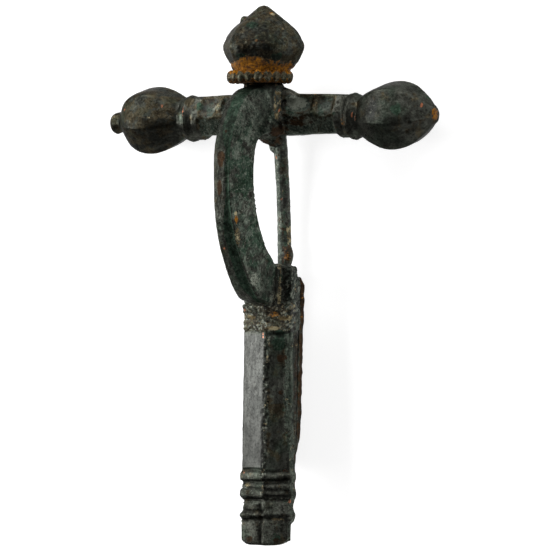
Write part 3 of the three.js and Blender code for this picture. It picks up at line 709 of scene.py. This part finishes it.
BLACK = (0.006, 0.006, 0.005, 1)
DARK = (0.02, 0.02, 0.016, 1)
GREY = (0.07, 0.073, 0.061, 1)
PALE = (0.2, 0.215, 0.175, 1)
PALE_GREEN = (0.115, 0.135, 0.108, 1)
PALE_GREEN_DARK = (0.03, 0.042, 0.032, 1)
BARE = (0.053, 0.054, 0.051, 1)
BARE_DARK = (0.036, 0.037, 0.035, 1)
GREEN_DARK = (0.013, 0.027, 0.016, 1)
GREEN = (0.042, 0.072, 0.05, 1)
OLIVE_DARK = (0.021, 0.016, 0.009, 1)
OLIVE = (0.088, 0.074, 0.046, 1)
RUST_DARK = (0.045, 0.015, 0.003, 1)
RUST_BRIGHT = (0.36, 0.142, 0.004, 1)
CRUST_DARK = (0.11, 0.08, 0.035, 1)
CRUST = (0.34, 0.29, 0.17, 1)
BROWN = (0.04, 0.024, 0.013, 1)
COPPER = (0.4, 0.15, 0.08, 1)
RUST_ROUGHNESS = 0.8
BUMP_DEPTH = 0.00012


class Nodes:
    """Short words for the shader nodes that the patina uses."""

    def __init__(self, material):
        self.tree = material.node_tree
        self.coord = self.tree.nodes.new("ShaderNodeTexCoord").outputs["Object"]

    def node(self, kind, **settings):
        made = self.tree.nodes.new(kind)
        for key, value in settings.items():
            setattr(made, key, value)
        return made

    def link(self, source, target):
        if isinstance(source, (int, float, tuple)):
            target.default_value = source
        else:
            self.tree.links.new(source, target)

    def scaled(self, place, size, stretch=(1, 1, 1)):
        mapping = self.node("ShaderNodeMapping")
        mapping.inputs["Scale"].default_value = tuple(1 / (size * s) for s in stretch)
        self.link(place, mapping.inputs["Vector"])
        return mapping.outputs[0]

    def noise(self, size_mm, detail=4, rough=0.55, place=None, stretch=(1, 1, 1), twist=0.0):
        """Noise with features of this size, on the object or on a place given in millimetres."""
        if place is None:
            place, size_mm = self.coord, size_mm * MM
        texture = self.node("ShaderNodeTexNoise")
        texture.inputs["Scale"].default_value = 1
        texture.inputs["Detail"].default_value = detail
        texture.inputs["Roughness"].default_value = rough
        texture.inputs["Distortion"].default_value = twist
        self.link(self.scaled(place, size_mm, stretch), texture.inputs["Vector"])
        return texture.outputs["Fac"]

    def ranged(self, value, low, high, to_low=0.0, to_high=1.0):
        made = self.node("ShaderNodeMapRange", interpolation_type="SMOOTHSTEP")
        self.link(value, made.inputs["Value"])
        made.inputs["From Min"].default_value = low
        made.inputs["From Max"].default_value = high
        made.inputs["To Min"].default_value = to_low
        made.inputs["To Max"].default_value = to_high
        return made.outputs["Result"]

    def math(self, operation, a, b):
        made = self.node("ShaderNodeMath", operation=operation)
        self.link(a, made.inputs[0])
        self.link(b, made.inputs[1])
        return made.outputs[0]

    def mask(self, name):
        return self.node("ShaderNodeAttribute", attribute_name=name).outputs["Fac"]

    def flow(self):
        return self.node("ShaderNodeAttribute", attribute_name="flow").outputs["Vector"]

    def broken(self, name, grain, low=0.38, high=0.6):
        """A stored mask whose edge is broken up by a grain."""
        total = self.math("ADD", self.mask(name), self.math("MULTIPLY", grain, 1.6))
        return self.ranged(total, low + 0.8, high + 0.8)

    def mix(self, factor, a, b):
        """Blends two colours."""
        return self.blend(factor, a, b, "RGBA")

    def blend(self, factor, a, b, kind="FLOAT"):
        made = self.node("ShaderNodeMix", data_type=kind)
        self.link(factor, made.inputs["Factor"])
        self.link(a, made.inputs["A"])
        self.link(b, made.inputs["B"])
        return made.outputs["Result"]


# the patina material; its shade and light masks also carry painted shade and painted light
def patina(name):
    material = bpy.data.materials.new(name)
    material.use_nodes = True
    shader = material.node_tree.nodes["Principled BSDF"]
    n = Nodes(material)
    wide = n.noise(4.5, 4, 0.6)
    middle = n.noise(1.1, 5, 0.65)
    fine = n.noise(0.32, 4, 0.7)
    streak = n.noise(0.5, 5, 0.65, n.flow(), (1, 5, 1.4))
    grain = n.math("ADD", n.math("MULTIPLY", middle, 0.5), n.math("MULTIPLY", fine, 0.5))
    mottle = n.blend(n.mask("streaky"), grain, n.math(
        "ADD", n.math("MULTIPLY", streak, 0.7), n.math("MULTIPLY", fine, 0.3)))
    flecked = n.mask("flecked")
    patches = n.noise(0.75, 4, 0.7, twist=1.2)
    cloudy = n.noise(2.4, 5, 0.65, twist=0.6)

    # the metal's own skin: dark to grey, going olive and green in patches
    varied = n.math("ADD", n.math("MULTIPLY", mottle, 0.65), n.math("MULTIPLY", cloudy, 0.35))
    lightness = n.ranged(varied, 0.4, 0.6)
    color = n.mix(lightness, DARK, GREY)
    olive = n.mix(lightness, OLIVE_DARK, OLIVE)
    color = n.mix(n.broken("warm", n.noise(1.7, 4, 0.6)), color, olive)
    greenish = n.mix(lightness, GREEN_DARK, GREEN)
    color = n.mix(n.math("MULTIPLY", n.ranged(wide, 0.48, 0.68), 0.4), color, greenish)
    color = n.mix(n.broken("green", middle), color, greenish)
    # pale corrosion, worn bare metal and dust, and the light mask's painted light
    specks = n.math("MULTIPLY", n.ranged(patches, 0.52, 0.66), n.blend(flecked, 0.12, 0.6))
    color = n.mix(specks, color, PALE_GREEN)
    bare = n.mix(lightness, BARE_DARK, BARE)
    color = n.mix(n.math("MULTIPLY", n.mask("bare"), 0.9), color, bare)
    pale = n.mix(lightness, PALE_GREEN_DARK, PALE_GREEN)
    color = n.mix(n.broken("pale", patches), color, pale)
    color = n.mix(n.broken("light", fine), color, PALE)
    dust = n.math("MULTIPLY", n.ranged(fine, 0.58, 0.72), n.blend(flecked, 0.12, 0.6))
    color = n.mix(dust, color, PALE)
    # brown stains, and dirt in the hollows and pores
    color = n.mix(n.broken("brown", middle), color, BROWN)
    hollows = n.math("MULTIPLY", n.ranged(patches, 0.48, 0.34), n.blend(flecked, 0.35, 0.7))
    color = n.mix(hollows, color, BLACK)
    pores = n.math("MULTIPLY", n.ranged(fine, 0.46, 0.32), n.blend(flecked, 0.55, 0.85))
    color = n.mix(pores, color, BLACK)
    # rust and crust over everything
    rust = n.mix(n.ranged(grain, 0.4, 0.62), RUST_DARK, RUST_BRIGHT)
    crust = n.mix(n.ranged(middle, 0.42, 0.6), CRUST_DARK, CRUST)
    rusted = n.broken("rust", grain)
    crusted = n.broken("crust", fine)
    color = n.mix(rusted, color, rust)
    color = n.mix(crusted, color, crust)
    color = n.mix(n.broken("copper", fine), color, COPPER)
    # black over all: dark patina, and the shade mask's painted shade
    color = n.mix(n.math("MULTIPLY", n.mask("shade"), 0.85), color, BLACK)
    n.link(color, shader.inputs["Base Color"])

    earthy = n.math("MAXIMUM", rusted, crusted)
    metal = n.ranged(n.math("MAXIMUM", earthy, n.mask("matte")), 0.0, 0.6, 0.9, 0.0)
    n.link(metal, shader.inputs["Metallic"])
    rough = n.ranged(mottle, 0.36, 0.66, 0.44, 0.34)
    n.link(n.blend(earthy, rough, RUST_ROUGHNESS), shader.inputs["Roughness"])
    shader.inputs["IOR"].default_value = 1.45
    shader.inputs["Specular IOR Level"].default_value = 0.4
    shader.inputs["Specular Tint"].default_value = (0.4, 0.4, 0.4, 1)

    bump = n.node("ShaderNodeBump")
    n.link(n.blend(flecked, 0.3, 0.9), bump.inputs["Strength"])
    bump.inputs["Distance"].default_value = BUMP_DEPTH
    grainy = n.math("MULTIPLY", n.math("ADD", mottle, fine), 0.6)
    patchy = n.math("MULTIPLY", patches, n.blend(flecked, 0.3, 0.8))
    n.link(n.math("ADD", grainy, patchy), bump.inputs["Height"])
    n.link(bump.outputs["Normal"], shader.inputs["Normal"])
    return material


# ---------------------------------------------------------------- studio

VIEW_TURN = math.radians(27)
CAMERA_DISTANCE = 0.75
FRAME_WIDTH = 0.0818
AIM = Vector((0.00017, 0.00007, 0.0052))
SENSOR = 36
FLOOR_SIZE = 8
WALL_RADIUS = 3.5
WALL_DEPTH = 0.52          # half of it is above the floor
FLOOR_GLOW = 0.78
WORLD_GLOW = 0.095


def make_camera():
    data = bpy.data.cameras.new("camera")
    camera = bpy.data.objects.new("camera", data)
    bpy.context.scene.collection.objects.link(camera)
    away = Vector((math.sin(VIEW_TURN), 0, math.cos(VIEW_TURN)))
    up = Vector((0, 1, 0))
    side = up.cross(away)
    camera.matrix_world = Matrix.Translation(AIM + away * CAMERA_DISTANCE) @ Matrix(
        (side, up, away)).transposed().to_4x4()
    data.sensor_width = SENSOR
    data.lens = SENSOR * CAMERA_DISTANCE / FRAME_WIDTH
    data.clip_start = 0.01
    data.clip_end = 20
    bpy.context.scene.camera = camera


def add_softbox(name, direction, distance, size, power):
    """A soft white light in this direction from the origin, facing it."""
    data = bpy.data.lights.new(name, "AREA")
    data.shape = "RECTANGLE"
    data.size, data.size_y = size
    data.energy = power
    light = bpy.data.objects.new(name, data)
    bpy.context.scene.collection.objects.link(light)
    away = Vector(direction).normalized()
    light.location = away * distance
    light.rotation_euler = away.to_track_quat("Z", "Y").to_euler()


def make_studio():
    bpy.ops.mesh.primitive_plane_add(size=FLOOR_SIZE)
    floor = bpy.context.object
    floor.name = "floor"
    # a low pale wall far round the floor, so that a low view has no dark horizon
    bpy.ops.mesh.primitive_cylinder_add(
        vertices=96, radius=WALL_RADIUS, depth=WALL_DEPTH, end_fill_type="NOTHING")
    wall = bpy.context.object
    wall.name = "wall"
    pale = bpy.data.materials.new("pale floor")
    pale.use_nodes = True
    shader = pale.node_tree.nodes["Principled BSDF"]
    shader.inputs["Base Color"].default_value = (0.5, 0.5, 0.5, 1)
    shader.inputs["Roughness"].default_value = 0.9
    shader.inputs["Emission Color"].default_value = (1, 1, 1, 1)
    shader.inputs["Emission Strength"].default_value = FLOOR_GLOW
    for piece in (floor, wall):
        piece.data.materials.append(pale)
    add_softbox("key", (-0.80, 0.02, 0.56), 0.6, (0.32, 0.42), 3.7)
    add_softbox("top", (-0.42, 0.80, 0.46), 0.7, (0.34, 0.24), 2.2)
    add_softbox("top right", (0.35, 0.75, 0.56), 0.7, (0.4, 0.4), 1.5)
    add_softbox("fill", (0.85, -0.1, 0.35), 0.8, (0.3, 0.4), 1.2)
    world = bpy.data.worlds.new("studio")
    world.use_nodes = True
    world.node_tree.nodes["Background"].inputs["Color"].default_value = (1, 1, 1, 1)
    world.node_tree.nodes["Background"].inputs["Strength"].default_value = WORLD_GLOW
    bpy.context.scene.world = world
    bpy.context.scene.view_settings.view_transform = "Standard"


make_camera()
make_body()
make_head_knob()
make_collar()
make_pin()
make_axle()
make_studio()
